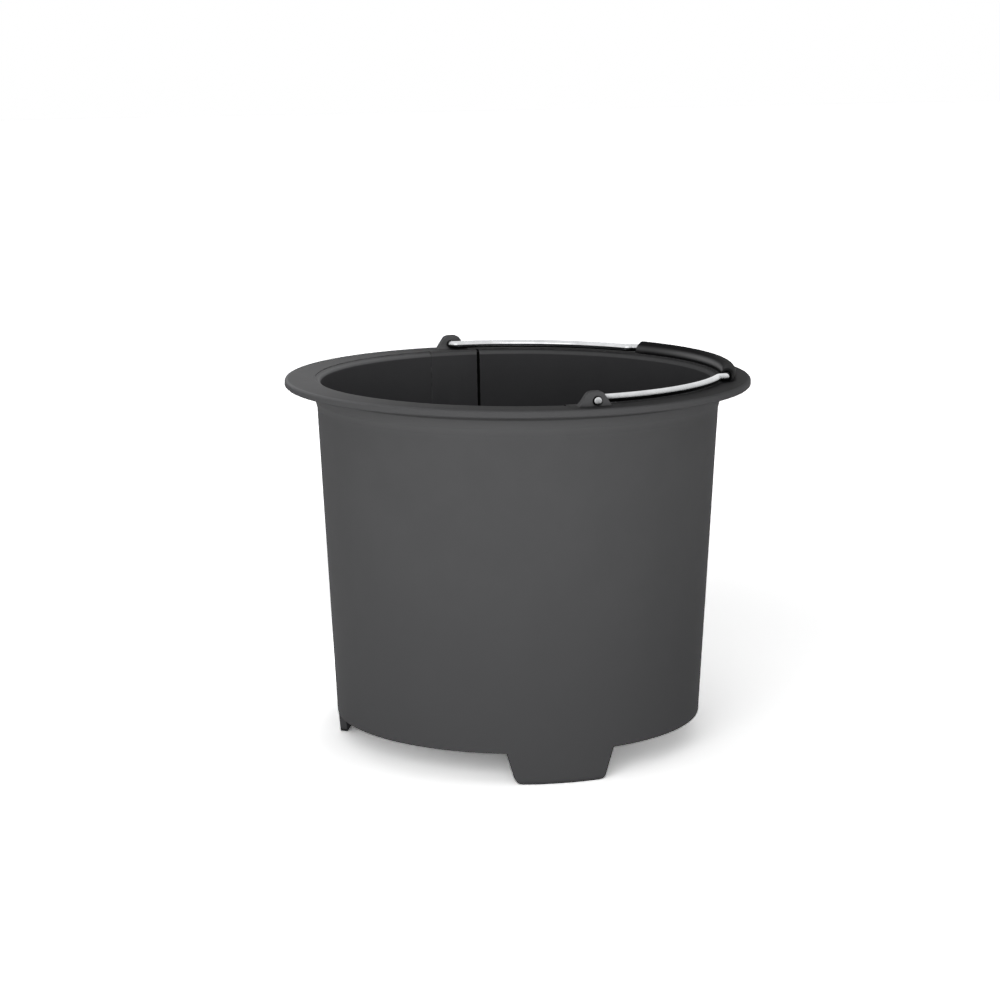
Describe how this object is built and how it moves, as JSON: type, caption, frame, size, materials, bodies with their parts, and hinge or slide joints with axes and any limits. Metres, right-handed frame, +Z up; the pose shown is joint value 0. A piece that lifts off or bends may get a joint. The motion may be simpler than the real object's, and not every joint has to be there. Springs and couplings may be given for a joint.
{
  "type": "food waste composter bucket",
  "caption": "Round lift-out bucket of an electric food waste composter, with a flange, a folding bail, feet, and a bladed agitator driven through the floor.",
  "frame": {"origin": "on the bucket's axis, at the floor that its feet stand on", "axes": "+Z up along the bucket's axis; the bail's hinge line runs along Y, and the folded grip lies towards +X"},
  "size_m": [0.23, 0.23, 0.1906],
  "materials": {
    "shell_coat": "matte",
    "bail_steel": "polished",
    "grip_black": "satin",
    "cast_steel": "satin",
    "turned_steel": "satin",
    "bronze": "satin",
    "seal_rubber": "matte",
    "dark_steel": "satin"
  },
  "bodies": {
    "shell": {"bucket": "shell_coat", "front_wall_bar": "shell_coat", "back_wall_bar": "shell_coat", "ear_screws": "dark_steel", "lower_bush": "bronze", "upper_bush": "bronze", "shaft_seal": "seal_rubber", "upper_thrust_washer": "bronze"},
    "bail": {"bail_wire": "bail_steel", "bail_grip": "grip_black"},
    "agitator": {"drive_shaft": "turned_steel", "lower_agitator": "cast_steel", "lower_spacer": "turned_steel", "middle_blade": "cast_steel", "upper_spacer": "turned_steel", "upper_blade": "cast_steel", "lock_washer": "turned_steel", "dome_nut": "turned_steel", "lower_thrust_washer": "bronze", "retaining_ring": "dark_steel", "drive_coupling": "dark_steel", "coupling_pin": "turned_steel"}
  },
  "joints": [
    {"name": "bail_hinge", "type": "hinge", "parent": "shell", "child": "bail", "pos_m": [0, 0, 0.186], "axis": [0, -1, 0], "range_deg": [0, 177]},
    {"name": "agitator_spin", "type": "hinge", "parent": "shell", "child": "agitator", "pos_m": [0, 0, 0.03], "axis": [0, 0, 1], "continuous": true}
  ]
}
